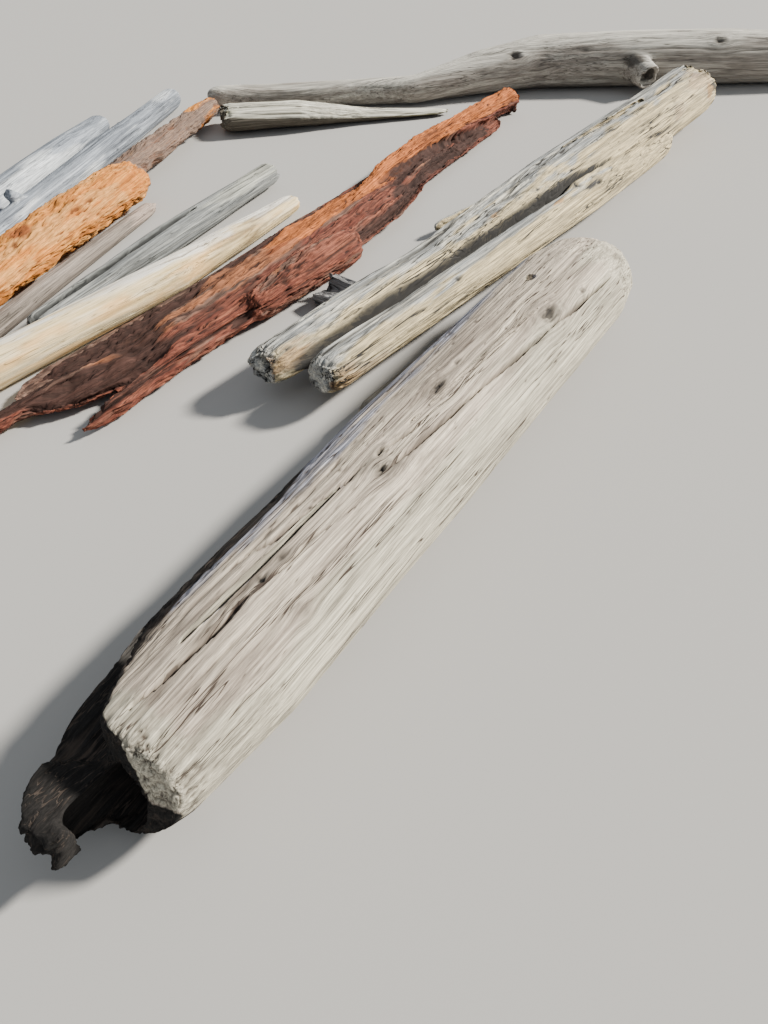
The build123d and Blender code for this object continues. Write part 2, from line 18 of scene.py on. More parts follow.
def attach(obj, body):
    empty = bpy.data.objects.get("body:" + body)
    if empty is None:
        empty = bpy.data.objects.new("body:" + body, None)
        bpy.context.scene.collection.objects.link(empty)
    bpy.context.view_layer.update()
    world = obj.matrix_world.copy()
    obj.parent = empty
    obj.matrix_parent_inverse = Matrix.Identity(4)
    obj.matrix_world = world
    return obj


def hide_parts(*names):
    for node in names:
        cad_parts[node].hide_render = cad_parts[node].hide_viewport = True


# Camera: the picture's size and focal length in pixels, angles in degrees, and the picture's right
# along the ground
PICTURE_WIDTH = 768
PICTURE_HEIGHT = 1024
FOCAL_PIXELS = 770.0
SENSOR_WIDTH_MM = 36.0
CAMERA_REACH = 200.0
CAMERA_PLACE = (-3.2399, -1.9897, 1.5)
CAMERA_PITCH = 45.0
CAMERA_HEADING = -56.0
PICTURE_RIGHT = (0.559, -0.829, 0.0)

# Light and floor: how wide the sun looks is in degrees
SKY_COLOUR = (0.88, 0.94, 1.0, 1.0)
SKY_STRENGTH = 0.48
SUN_COLOUR = (1.0, 0.955, 0.87)
SUN_STRENGTH = 9.5
SUN_WIDTH = 7.0
TOWARD_SUN = (0.78, -0.56, 0.62)
FLOOR_COLOUR = (0.43, 0.42, 0.405, 1.0)
FLOOR_HALF_WIDTH = 14.0
FLOOR_DROP = 0.0005

# Noise: the factors that mix a cell's place into a value, and how much finer and weaker each layer is
CELL_FACTORS = (374761393, 668265263, 1103515245)
SEED_FACTOR = 1274126177
LAST_FACTOR = 2246822519
LAYER_FINENESS = 2.1
LAYER_SHARE = 0.52
LAYER_TOTAL = 1.5
LAYER_SEED_STEP = 17

# Skins: a log is squeezed lengthways while its skin is made, so that the faces are long along the grain
SQUEEZE = 4.0
FACES_PER_SQUARE = 2.7
WELD_DISTANCE = 1e-5
MARKS = ("cavity", "dark", "light", "accent")
GRAIN_STEP_PER_SEED = 1.37
MOST_OUTWARD = 0.0015
RAY_START = 0.9
RAY_STEP = 0.02
RAY_STEPS = 420
SMOOTHING = 0.6

# Ends, knots, cracks and rotted blocks
END_REACH = 2.6
KNOT_STRETCH = 1.5
CRACK_FADE = 0.07
CRACK_STEEPNESS = 0.5
HEAL_STEP = 0.03
HEAL_STEPS = 100
BLOCK_STRETCH = (1.5, 1.0, 1.0)

# Seeds: what is added to a log's own seed for each kind of noise
KNOT_SEED = 61
CRACK_SEED = 71
CLEFT_SEED = 81
SPOT_SEED = 91
ZONE_SEED = 131
CUBE_SEED = 150
LINE_SEED = 201
PIT_SEED = 301
END_SEED = 400

# Wood
BUMP_HEIGHT = 0.0014
GLOSS = 0.25

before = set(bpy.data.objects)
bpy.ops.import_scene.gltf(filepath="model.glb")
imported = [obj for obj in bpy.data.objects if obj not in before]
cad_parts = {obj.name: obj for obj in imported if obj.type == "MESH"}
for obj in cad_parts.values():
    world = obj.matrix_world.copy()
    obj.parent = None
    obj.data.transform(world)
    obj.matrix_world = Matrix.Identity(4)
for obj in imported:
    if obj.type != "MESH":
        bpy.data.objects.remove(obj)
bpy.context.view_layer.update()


# Camera, light and floor

def make_camera():
    """The camera at the picture's viewing angle."""
    data = bpy.data.cameras.new("camera")
    data.sensor_width = SENSOR_WIDTH_MM
    data.lens = FOCAL_PIXELS * data.sensor_width / PICTURE_HEIGHT
    data.clip_end = CAMERA_REACH
    camera = bpy.data.objects.new("camera", data)
    camera.location = CAMERA_PLACE
    camera.rotation_euler = (radians(CAMERA_PITCH), 0.0, radians(CAMERA_HEADING))
    bpy.context.scene.collection.objects.link(camera)
    bpy.context.scene.camera = camera
    bpy.context.view_layer.update()
    return camera


def make_light():
    """A pale sky and a soft, warm sun."""
    world = bpy.data.worlds.new("studio")
    world.use_nodes = True
    background = world.node_tree.nodes["Background"]
    background.inputs["Color"].default_value = SKY_COLOUR
    background.inputs["Strength"].default_value = SKY_STRENGTH
    bpy.context.scene.world = world
    data = bpy.data.lights.new("sun", "SUN")
    data.energy = SUN_STRENGTH
    data.angle = radians(SUN_WIDTH)
    data.color = SUN_COLOUR
    sun = bpy.data.objects.new("sun", data)
    sun.rotation_euler = Vector(TOWARD_SUN).to_track_quat("Z", "Y").to_euler()
    bpy.context.scene.collection.objects.link(sun)


def make_floor():
    """A plain pale floor, just below the logs."""
    mesh = bpy.data.meshes.new("floor")
    corners = [(x * FLOOR_HALF_WIDTH, y * FLOOR_HALF_WIDTH, -FLOOR_DROP)
               for x, y in ((-1, -1), (1, -1), (1, 1), (-1, 1))]
    mesh.from_pydata(corners, [], [(0, 1, 2, 3)])
    floor = bpy.data.objects.new("floor", mesh)
    bpy.context.scene.collection.objects.link(floor)
    material = bpy.data.materials.new("floor")
    material.use_nodes = True
    shader = material.node_tree.nodes["Principled BSDF"]
    shader.inputs["Base Color"].default_value = FLOOR_COLOUR
    shader.inputs["Roughness"].default_value = 0.9
    mesh.materials.append(material)


# Seeded noise

def cell_value(cells, seed):
    """A repeatable value from 0 to 1 for each whole-number cell."""
    mixed = (cells @ np.array(CELL_FACTORS) + seed * SEED_FACTOR) & 0xFFFFFFFF
    mixed = ((mixed ^ (mixed >> 13)) * SEED_FACTOR) & 0xFFFFFFFF
    mixed = ((mixed ^ (mixed >> 15)) * LAST_FACTOR) & 0xFFFFFFFF
    return ((mixed ^ (mixed >> 16)) & 0xFFFF) / 65535.0


def noise(points, sizes, seed):
    """Smooth noise from -1 to 1 whose bumps have the given sizes."""
    scaled = points / np.array(sizes)
    base = np.floor(scaled).astype(np.int64)
    part = scaled - base
    ease = part * part * (3.0 - 2.0 * part)
    total = np.zeros(len(points))
    for corner in product((0, 1), repeat=3):
        share = np.ones(len(points))
        for axis in range(3):
            share *= ease[:, axis] if corner[axis] else 1.0 - ease[:, axis]
        total += share * cell_value(base + np.array(corner), seed)
    return total * 2.0 - 1.0


def layered(points, sizes, seed, layers=3):
    """Noise with finer noise laid over it."""
    total = np.zeros(len(points))
    for layer in range(layers):
        finer = [size / LAYER_FINENESS ** layer for size in sizes]
        total += noise(points, finer, seed + LAYER_SEED_STEP * layer) * LAYER_SHARE ** layer
    return total / LAYER_TOTAL


def furrows(points, sizes, seed, sharp=0.22):
    """Sharp valleys, 0 on the flat to 1 at the bottom, along the lines where the noise changes sign."""
    depth = np.clip(1.0 - np.abs(layered(points, sizes, seed, 2)) / sharp, 0.0, 1.0)
    return depth ** 1.3


def step(low, high, values):
    """A smooth rise from 0 at low to 1 at high."""
    part = np.clip((values - low) / (high - low), 0.0, 1.0)
    return part * part * (3.0 - 2.0 * part)


# Skins

def ray_to(px, py):
    """Direction in the row frame of the ray through a pixel of the picture."""
    local = Vector((px - PICTURE_WIDTH / 2, PICTURE_HEIGHT / 2 - py, -FOCAL_PIXELS))
    return (camera.matrix_world.to_3x3() @ local).normalized()


class Log:
    """One log's skin in the log's own axes: x along it from its near end, y across and z up, in metres."""

    def __init__(self, name, yaw, faces, seed, bend=3):
        self.name, self.seed = name, seed
        self.turn = Matrix.Rotation(radians(yaw), 4, "Z")
        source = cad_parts[name].data
        self.tree = BVHTree.FromPolygons([v.co.copy() for v in source.vertices],
                                         [list(p.vertices) for p in source.polygons])
        work = bmesh.new()
        work.from_mesh(source)
        bmesh.ops.remove_doubles(work, verts=work.verts, dist=WELD_DISTANCE)
        flat = Matrix.Diagonal((1.0 / SQUEEZE, 1.0, 1.0, 1.0)) @ self.turn.inverted()
        bmesh.ops.transform(work, matrix=flat, verts=work.verts)
        area = sum(face.calc_area() for face in work.faces)
        coarse = bpy.data.meshes.new(name + "_coarse")
        work.to_mesh(coarse)
        work.free()
        shape = bpy.data.objects.new(name + "_coarse", coarse)
        bpy.context.scene.collection.objects.link(shape)
        even = shape.modifiers.new("even", "REMESH")
        even.mode = "VOXEL"
        even.voxel_size = sqrt(FACES_PER_SQUARE * area / faces)
        graph = bpy.context.evaluated_depsgraph_get()
        self.mesh = bpy.data.meshes.new_from_object(shape.evaluated_get(graph))
        bpy.data.objects.remove(shape)
        self.drop_bubbles()
        self.size = len(self.mesh.vertices)
        places = np.empty(self.size * 3)
        self.mesh.vertices.foreach_get("co", places)
        self.co = places.reshape(-1, 3)
        self.co[:, 0] *= SQUEEZE
        self.refresh()
        x = self.co[:, 0]
        self.start, self.end = x.min(), x.max()
        self.bend = [np.polyfit(x, self.co[:, axis], bend) for axis in (1, 2)]
        self.grain = np.stack([x - self.start, self.co[:, 1] - np.polyval(self.bend[0], x),
                               self.co[:, 2] - np.polyval(self.bend[1], x)], axis=1)
        self.height = np.zeros(self.size)
        self.along, self.across = x - self.start, self.grain[:, 1].copy()
        self.marks = {key: np.zeros(self.size) for key in MARKS}

    def mark(self, key, amount):
        """Raises a tone to amount where it is lower."""
        self.marks[key] = np.maximum(self.marks[key], amount)

    def along_noise(self, size, seed):
        """Noise that changes only along the log."""
        x = self.co[:, 0]
        return noise(np.stack([x, x * 0, x * 0], axis=1), (size, 1, 1), self.seed + seed)

    def edge_ends(self):
        """The numbers of the two points that each edge joins."""
        pairs = np.empty(len(self.mesh.edges) * 2, np.int32)
        self.mesh.edges.foreach_get("vertices", pairs)
        return pairs.reshape(-1, 2).T

    def drop_bubbles(self):
        """Deletes closed bubbles inside the skin, which are all but its largest connected surface."""
        a, b = self.edge_ends()
        group = np.arange(len(self.mesh.vertices))
        while (group[a] != group[b]).any():
            lowest = np.minimum(group[a], group[b])
            np.minimum.at(group, group[a], lowest)
            np.minimum.at(group, group[b], lowest)
            group = group[group]
        inside = np.flatnonzero(group != np.argmax(np.bincount(group)))
        if len(inside):
            work = bmesh.new()
            work.from_mesh(self.mesh)
            work.verts.ensure_lookup_table()
            bmesh.ops.delete(work, geom=[work.verts[i] for i in inside], context="VERTS")
            work.to_mesh(self.mesh)
            work.free()

    def soften(self, mask, rounds):
        """Rounds off the skin where mask is above 0."""
        a, b = self.edge_ends()
        count = (np.bincount(a, minlength=self.size) + np.bincount(b, minlength=self.size))[:, None]
        for _ in range(rounds):
            total = np.stack([np.bincount(a, self.co[b, axis], self.size)
                              + np.bincount(b, self.co[a, axis], self.size) for axis in range(3)], axis=1)
            self.co += SMOOTHING * mask[:, None] * (total / count - self.co)
        self.refresh()

    def refresh(self):
        """Normals of the skin as it is now."""
        self.mesh.vertices.foreach_set("co", self.co.ravel())
        self.mesh.update()
        normals = np.empty(self.size * 3)
        self.mesh.vertices.foreach_get("normal", normals)
        self.normals = normals.reshape(-1, 3)
        self.side = self.normals @ np.array(self.turn.to_3x3().inverted() @ Vector(PICTURE_RIGHT))

    def touch(self, px, py):
        """The point of the log that a pixel of the picture shows, or the nearest one to its ray."""
        origin, ray = camera.location, ray_to(px, py)
        hit = self.tree.ray_cast(origin, ray)[0]
        if hit is None:
            places = [origin + ray * (RAY_START + RAY_STEP * i) for i in range(RAY_STEPS)]
            hit = min((self.tree.find_nearest(place) for place in places), key=lambda found: found[3])[0]
        return np.array(self.turn.inverted() @ hit)

    def ends(self, near, far, size):
        """Breaks the ends back by up to near and far, in strands."""
        strands = 0.5 + 0.75 * layered(self.co, (0.6, size, size * 0.8), self.seed + END_SEED, 3)
        strands = np.clip(strands, 0.0, 1.0)
        x = self.co[:, 0]
        self.co[:, 0] += near * strands * (1.0 - step(self.start, self.start + near * END_REACH, x))
        self.co[:, 0] -= far * (1.0 - strands) * step(self.end - far * END_REACH, self.end, x)
        self.refresh()

    def knot(self, px, py, radius, hole=0.0, mound=0.0, dark=1.0):
        """Grain that flows round a knot, with a mound and a hole."""
        centre = self.touch(px, py)
        along = (self.co[:, 0] - centre[0]) / KNOT_STRETCH
        across = np.hypot(self.co[:, 1] - centre[1], self.co[:, 2] - centre[2])
        far = np.hypot(along, across) / radius
        pull = 0.8 * np.exp(-0.35 * far ** 2)
        self.grain[:, 1] -= pull * (self.co[:, 1] - centre[1])
        self.grain[:, 2] -= pull * (self.co[:, 2] - centre[2])
        edge = far + 0.6 * layered(self.co, (0.03, 0.014, 0.014), self.seed + KNOT_SEED)
        self.height += mound * np.exp(-0.8 * far ** 2) - hole * (1.0 - step(0.15, 0.85, edge))
        self.mark("dark", dark * (1.0 - step(0.2, 1.0, edge)))
        rings = (0.5 + 0.5 * np.cos(edge * 8.0)) * np.exp(-0.3 * far ** 2)
        self.mark("dark", 0.7 * dark * rings)

    def line_through(self, pixels):
        """The log's points that pixels show, in order from its near end."""
        return np.array(sorted(tuple(self.touch(*pixel)) for pixel in pixels))

    def crack(self, pixels, width, depth, sway=0.004, dark=1.0):
        """An open check through pixels, running with the grain, its inside darkened with painted shade."""
        line = self.line_through(pixels)
        x = self.co[:, 0]
        aside = sway * self.along_noise(0.11, CRACK_SEED)
        aside += sway * 0.5 * self.along_noise(0.03, CRACK_SEED + 1)
        y = np.interp(x, line[:, 0], line[:, 1]) + aside
        z = np.interp(x, line[:, 0], line[:, 2])
        off = np.hypot(self.co[:, 1] - y, CRACK_STEEPNESS * (self.co[:, 2] - z))
        begin, finish = line[0, 0], line[-1, 0]
        taper = step(begin - CRACK_FADE, begin + CRACK_FADE, x)
        taper *= 1.0 - step(finish - CRACK_FADE, finish + CRACK_FADE, x)
        swell = 0.7 + 0.5 * self.along_noise(0.09, CRACK_SEED + 2)
        open_width = width * taper * swell + 1e-6
        profile = np.clip(1.0 - off / open_width, 0.0, 1.0) ** 0.6
        facing = np.clip(self.normals[:, 2] + 0.5, 0.0, 1.0)
        self.co[:, 2] -= depth * profile * np.sqrt(taper) * facing
        self.mark("cavity", dark * profile ** 0.7 * taper)

    def heal(self, pixels, width):
        """Lifts a notch that runs through pixels to the level of its rim, and smooths it."""
        line = self.line_through(pixels)
        x, z = self.co[:, 0], self.co[:, 2]
        off = np.abs(self.co[:, 1] - np.interp(x, line[:, 0], line[:, 1]))
        inside = (x > line[0, 0]) & (x < line[-1, 0]) & (z > 0.6 * z.max())
        part = np.clip(((x - line[0, 0]) / HEAL_STEP).astype(int), 0, HEAL_STEPS - 1)
        rim = inside & (off >= width) & (off < 1.8 * width) & (self.normals[:, 2] > 0.5)
        found = np.bincount(part[rim], minlength=HEAL_STEPS)
        level = np.bincount(part[rim], z[rim], HEAL_STEPS) / np.maximum(found, 1)
        notch = inside & (off < width) & (level[part] > 0.0)
        self.co[notch, 2] = np.maximum(self.co[notch, 2], level[part[notch]] - 0.0005)
        self.soften(inside * (1.0 - step(0.8, 1.3, off / width)), 20)

    def cleft(self, line, width, depth, fade, shade=1.7):
        """An open gap down the valley through points (x, y) of the log, darkened with painted shade, that
        closes at its far end.
        """
        line = np.array(line)
        x, z = self.co[:, 0], self.co[:, 2]
        off = self.co[:, 1] - np.interp(x, line[:, 0], line[:, 1])
        only_along = np.stack([x, x * 0, x * 0], axis=1)
        off += 0.35 * width * layered(only_along, (0.2, 1, 1), self.seed + CLEFT_SEED)
        taper = 1.0 - step(line[-1, 0] - fade, line[-1, 0], x)
        off = np.abs(off) / (width * (0.12 + 0.88 * taper))
        reach = (1.0 - step(line[-1, 0] - 0.05, line[-1, 0], x)) * (self.normals[:, 2] > -0.3)
        self.mark("cavity", reach * (1.0 - step(0.75, shade, off)))
        drop = depth * reach * (0.4 + 0.6 * taper) * (1.0 - step(0.4, 1.1, off))
        self.co[:, 2] = np.maximum(z - drop, 0.0)

    def pits(self, mask, size, depth, few=0.45):
        """Small pits and torn flakes, longer along the grain, where mask is above 0, darkened with painted
        shade.
        """
        bits = layered(self.grain, (size * 4.5, size, size), self.seed + PIT_SEED, 2)
        bits = step(few, few + 0.15, bits) * mask
        self.height -= depth * bits
        self.mark("cavity", 0.85 * bits)

    def lines(self, mask, spacing, depth, dark=0.9, sharp=0.22):
        """Long sharp checks along the grain where mask is above 0, darkened with painted shade."""
        seed = self.seed + LINE_SEED
        valley = furrows(self.grain, (spacing * 50, spacing, spacing), seed, sharp)
        come_and_go = step(-0.3, 0.2, layered(self.grain, (0.9, spacing * 4, spacing * 4), seed + 1, 2))
        cut = valley * come_and_go * mask
        self.height -= depth * cut
        self.mark("cavity", dark * cut)

    def spot(self, key, px, py, along, across, amount=1.0, rough=0.35):
        """A soft-edged patch of a tone round a pixel."""
        centre = self.touch(px, py)
        far = np.hypot((self.co[:, 0] - centre[0]) / along,
                       np.hypot(self.co[:, 1] - centre[1], self.co[:, 2] - centre[2]) / across)
        sizes = (along * 0.7, across * 0.35, across * 0.35)
        far += rough * layered(self.grain, sizes, self.seed + SPOT_SEED, 3)
        self.mark(key, amount * (1.0 - step(0.55, 1.2, far)))

    def zone(self, key, mask, amount=1.0, rough=0.3, size=0.05, sink=0.0):
        """A tone, and a hollow, where mask is above a half, with an edge that follows the grain."""
        mask = mask + rough * layered(self.grain, (size * 5, size, size), self.seed + ZONE_SEED, 3)
        inside = step(0.35, 0.65, mask)
        self.mark(key, amount * inside)
        self.height -= sink * inside

    def cubes(self, mask, depth, size):
        """Rot that breaks the wood into blocks, with cracks along and across the grain that painted shade
        darkens.
        """
        seed = self.seed + CUBE_SEED
        warp = np.stack([layered(self.co, (size * 2, size * 1.4, size * 1.4), seed + axis, 3)
                         for axis in range(3)], axis=1)
        where = (self.co + 1.1 * size * warp) / size / np.array(BLOCK_STRETCH)
        mask = mask * step(-0.35, 0.3, layered(self.co, (size * 5, size * 3, size * 3), seed + 9, 2))
        cells = np.floor(where)
        part = where - cells
        wall = np.min(np.minimum(part, 1.0 - part)[:, :2], axis=1)
        level = cell_value(cells.astype(np.int64), seed + 5)
        gap = 1.0 - step(0.03, 0.13, wall)
        self.height -= mask * depth * (0.6 * level + 0.8 * gap)
        self.mark("cavity", mask * 0.85 * gap)

    def weather(self, amount, coarse=0.045, lumps=0.0, lump_size=0.12):
        """Furrows and ridges along the grain, wider hollows, and lumps where it is rotted, with painted
        shade in the furrows and between the lumps.
        """
        grain = self.grain
        come_and_go = 0.35 + 0.65 * step(-0.35, 0.45, layered(grain, (0.5, 0.12, 0.12), self.seed, 2))
        wide = furrows(grain, (1.3, coarse, coarse), self.seed + 1) * come_and_go
        narrow = furrows(grain, (0.5, coarse * 0.42, coarse * 0.42), self.seed + 2, 0.3)
        narrow *= 0.35 + 0.65 * step(-0.3, 0.3, layered(grain, (0.3, 0.06, 0.06), self.seed + 7, 2))
        fine = layered(grain, (0.3, 0.011, 0.011), self.seed + 3, 2)
        swell = layered(grain, (0.7, 0.16, 0.16), self.seed + 4, 2)
        self.height -= amount * (0.0055 * wide + 0.0026 * narrow)
        self.height += amount * (0.0009 * fine + 0.004 * (swell - 0.6))
        self.mark("cavity", np.maximum(0.75 * wide ** 2, 0.5 * narrow ** 2))
        if lumps:
            broken = layered(self.co, (lump_size * 1.9, lump_size, lump_size), self.seed + 5, 4)
            sizes = (lump_size * 0.7, lump_size * 0.3, lump_size * 0.3)
            bits = np.abs(layered(self.co, sizes, self.seed + 6, 3))
            self.height += lumps * (broken - 0.75 - bits)
            self.mark("cavity", step(0.1, 0.9, -broken) * 0.7)

    def finish(self, material):
        """Sets the skin's final shape, stores what its wood reads, and puts it in the solid's place."""
        self.co += self.normals * np.minimum(self.height, MOST_OUTWARD)[:, None]
        self.co[:, 2] = np.maximum(self.co[:, 2], 0.0)
        self.mesh.vertices.foreach_set("co", self.co.ravel())
        self.mesh.transform(self.turn)
        self.mesh.update()
        self.mesh.shade_smooth()
        stored = self.grain.copy()
        stored[:, 0] += self.seed * GRAIN_STEP_PER_SEED
        way = self.mesh.attributes.new("grain", "FLOAT_VECTOR", "POINT")
        way.data.foreach_set("vector", stored.astype(np.float32).ravel())
        tones = np.stack([np.clip(self.marks[key], 0, 1) for key in MARKS], axis=1)
        mark = self.mesh.color_attributes.new("marks", "FLOAT_COLOR", "POINT")
        mark.data.foreach_set("color", tones.astype(np.float32).ravel())
        self.mesh.materials.clear()
        self.mesh.materials.append(material)
        piece = bpy.data.objects.new(self.name + "_skin", self.mesh)
        bpy.context.scene.collection.objects.link(piece)
        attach(piece, "root")
        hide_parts(self.name)
        print(self.name, len(self.mesh.polygons) * 2)


# Materials

def wood(name, base, pale, dark, accent, light, black=None, streak=1.0, rough=0.9, checks=1.0, gape=1.0):
    """Wood whose bands, streaks and hair checks follow the grain stored on the skin. Colours are linear.

    The marks dark, light and accent bring in the colours of those names, and the mark cavity the painted
    shade of a deep crack. On several logs the light mark is a painted highlight and the dark mark painted
    shade. Black stands in for dark; on the front log that dark is partly charred wood and partly painted
    shade. Gape is the width of the hair checks.
    """
    material = bpy.data.materials.new(name)
    material.use_nodes = True
    tree = material.node_tree
    shader = tree.nodes["Principled BSDF"]

    def add(kind, values, out=0, **settings):
        made = tree.nodes.new("ShaderNode" + kind)
        for key, value in settings.items():
            setattr(made, key, value)
        for key, value in values.items():
            if isinstance(value, bpy.types.NodeSocket):
                tree.links.new(value, made.inputs[key])
            else:
                made.inputs[key].default_value = value
        return made.outputs[out]

    def calc(operation, a, b=0.0):
        return add("Math", {0: a, 1: b}, operation=operation)

    def span(value, low, high, to_low=0.0, to_high=1.0):
        return add("MapRange", {"Value": value, "From Min": low, "From Max": high,
                                "To Min": to_low, "To Max": to_high})

    def mix(a, b, factor, blend="MIX"):
        colour = [(*c, 1.0) if isinstance(c, tuple) else c for c in (a, b)]
        return add("Mix", {0: factor, 6: colour[0], 7: colour[1]}, 2, data_type="RGBA", blend_type=blend)

    grain = add("Attribute", {}, "Vector", attribute_name="grain")
    marks = tree.nodes.new("ShaderNodeAttribute")
    marks.attribute_name = "marks"
    split = tree.nodes.new("ShaderNodeSeparateColor")
    tree.links.new(marks.outputs["Color"], split.inputs[0])
    cavity, darkness, lightness = split.outputs[0], split.outputs[1], split.outputs[2]

    def grain_noise(along, across, detail, twist=0.0, shift=0.0):
        scales = (1 / along, 1 / across, 1 / across)
        scaled = add("VectorMath", {0: grain, 1: scales, 2: (shift, shift, shift)}, operation="MULTIPLY_ADD")
        return add("TexNoise", {"Vector": scaled, "Scale": 1.0, "Detail": detail, "Roughness": 0.6,
                                "Distortion": twist})

    band = grain_noise(along=0.55, across=0.022, detail=3.0, twist=0.4)
    fine = grain_noise(along=0.24, across=0.0042, detail=3.0)
    hair = grain_noise(along=0.05, across=0.0014, detail=2.0)
    blotch = grain_noise(along=0.35, across=0.09, detail=4.0, twist=0.6)
    edge = calc("MULTIPLY", calc("SUBTRACT", fine, 0.5), 0.7)
    colour = mix(base, pale, span(band, 0.36, 0.66))
    colour = mix(colour, tuple(0.6 * c + 0.4 * d for c, d in zip(base, dark)), span(blotch, 0.5, 0.75))
    colour = mix(colour, accent, span(calc("ADD", marks.outputs["Alpha"], edge), 0.1, 0.9))
    colour = mix(colour, light, span(calc("ADD", lightness, edge), 0.0, 1.0, 0.0, 0.9))
    colour = mix(colour, black or dark, span(calc("ADD", darkness, edge), 0.1, 0.85))
    shades = calc("MULTIPLY", span(fine, 0.32, 0.66, 1.0 - 0.5 * streak, 1.0 + 0.12 * streak),
                  span(hair, 0.3, 0.6, 1.0 - 0.28 * streak, 1.04))
    shades = calc("MULTIPLY", shades, span(band, 0.3, 0.62, 1.0 - 0.25 * streak, 1.05))
    line = grain_noise(along=0.42, across=0.016, detail=2.0, shift=7.3)
    shown = span(grain_noise(along=0.7, across=0.05, detail=1.0, shift=3.1), 0.45, 0.6)
    off_line = calc("ABSOLUTE", calc("SUBTRACT", line, 0.5))
    check = calc("MULTIPLY", span(off_line, 0.016 * gape, 0.004 * gape), shown)
    check = calc("MULTIPLY", check, checks)
    colour = mix(colour, add("CombineColor", {0: shades, 1: shades, 2: shades}), 1.0, "MULTIPLY")
    # Painted shade: the hair checks and, through the cavity mark, the cracks, pits, furrows and hollows are
    # darkened toward a deep tone of the dark colour.
    deep = tuple(0.35 * c for c in dark)
    colour = mix(colour, deep, calc("MULTIPLY", check, 0.8))
    colour = mix(colour, deep, span(calc("ADD", cavity, edge), 0.15, 0.95))
    tree.links.new(colour, shader.inputs["Base Color"])
    shader.inputs["Roughness"].default_value = rough
    shader.inputs["Specular IOR Level"].default_value = GLOSS
    bump = tree.nodes.new("ShaderNodeBump")
    bump.inputs["Distance"].default_value = BUMP_HEIGHT
    bump.inputs["Strength"].default_value = 1.0
    height = calc("SUBTRACT", calc("ADD", fine, calc("MULTIPLY", hair, 0.45)), calc("MULTIPLY", check, 0.7))
    tree.links.new(height, bump.inputs["Height"])
    tree.links.new(bump.outputs["Normal"], shader.inputs["Normal"])
    return material


camera = make_camera()
make_light()
make_floor()

# Front log
log = Log("front_log", yaw=1.2, faces=195000, seed=11)
log.soften(step(0.12, 0.17, log.co[:, 2]) * (1.0 - step(0.32, 0.42, log.along)), rounds=26)
log.heal([(576, 274), (556, 292), (541, 305), (533, 313), (507, 337), (480, 362), (461, 377), (443, 393),
          (425, 412), (405, 430)], width=0.016)
log.ends(near=0.03, far=0.012, size=0.028)
near_end = 1.0 - step(0.3, 0.5, log.along)
# Painted shade: a cool lavender tone on the side turned from the sun, less towards the far end and none at
# the near end.
cool_shaded_side = 0.5 + 1.6 * (-log.side - 0.40) - 0.25 * (log.along - 1.2) - 2.0 * near_end
log.zone("accent", cool_shaded_side, rough=0.35)
# Painted highlight: a paler tone on the flank that faces the sun, a little more towards the far end.
log.zone("light", 0.5 + 1.3 * (log.side - 0.35) + 0.10 * (log.along - 1.3), amount=0.8, rough=0.35)
# Painted shade darkens the flank turned from the sun, the low part of that flank, the hollow in the near end
# and the underside near it. The rest of the near end below its lip is darkened as well, and the shaded flank
# gets rotted blocks.
shaded_flank = step(0.25, 0.65, -log.side) * (1.0 - step(0.7, 1.25, log.along))
below = ((1.0 - step(0.15, 0.2, log.co[:, 2])) * step(-0.15, 0.1, -log.side)
         * (1.0 - step(0.95, 1.4, log.along)))
shaded_flank = np.maximum(shaded_flank, below * (log.across > -0.05))
hollow = near_end * (1.0 - step(0.07, 0.10, np.hypot(log.across + 0.024, log.co[:, 2] - 0.109)))
under = (1.0 - step(0.2, 0.3, log.along)) * (1.0 - step(-0.5, -0.2, log.normals[:, 2]))
lip = (1.0 - step(0.22, 0.34, log.along)) * step(0.13, 0.17, log.co[:, 2]) * (log.across < 0.06)
lip *= step(0.15, 0.19, log.along + 0.6 * np.clip(-log.across, 0.0, 1.0))
log.zone("light", lip, amount=0.8)
log.cubes(lip, depth=0.004, size=0.012)
prong = 1.0 - step(0.17, 0.21, log.along)
log.zone("dark", np.maximum.reduce([shaded_flank * 1.1, hollow, prong * (1.0 - lip), under]), rough=0.25)
log.cubes(shaded_flank * 0.8, depth=0.010, size=0.035)
for px, py, radius, hole, mound, dark in (
        (549, 312, 0.034, 0.009, 0.004, 0.8), (583, 290, 0.014, 0.006, 0.003, 0.8),
        (439, 386, 0.026, 0.010, 0.003, 0.8), (382, 468, 0.022, 0.012, 0.003, 0.9),
        (380, 452, 0.012, 0.022, 0.003, 1.0), (283, 554, 0.010, 0.004, 0.003, 0.75),
        (261, 578, 0.012, 0.008, 0.002, 1.0), (237, 604, 0.011, 0.014, 0.001, 1.0),
        (507, 326, 0.008, 0.004, 0.001, 0.6), (457, 360, 0.009, 0.005, 0.002, 0.7),
        (309, 508, 0.006, 0.004, 0.001, 1.0), (296, 606, 0.004, 0.003, 0.0, 1.0),
        (306, 612, 0.014, 0.0, 0.003, 0.35)):
    log.knot(px, py, radius, hole, mound, dark)
log.crack([(607, 280), (565, 315), (527, 347), (486, 382), (444, 419), (394, 462)],
          width=0.0105, depth=0.03, sway=0.0015)
log.crack([(421, 421), (398, 436), (380, 452)], width=0.007, depth=0.016)
log.crack([(378, 454), (349, 478), (316, 502), (280, 535), (239, 559)], width=0.008, depth=0.022)
log.crack([(239, 603), (209, 636), (170, 673), (128, 707), (96, 733)], width=0.009, depth=0.026)
log.crack([(357, 502), (312, 539), (286, 566), (259, 586)], width=0.0045, depth=0.008, dark=0.7)
log.crack([(262, 505), (225, 532), (190, 560)], width=0.008, depth=0.014)
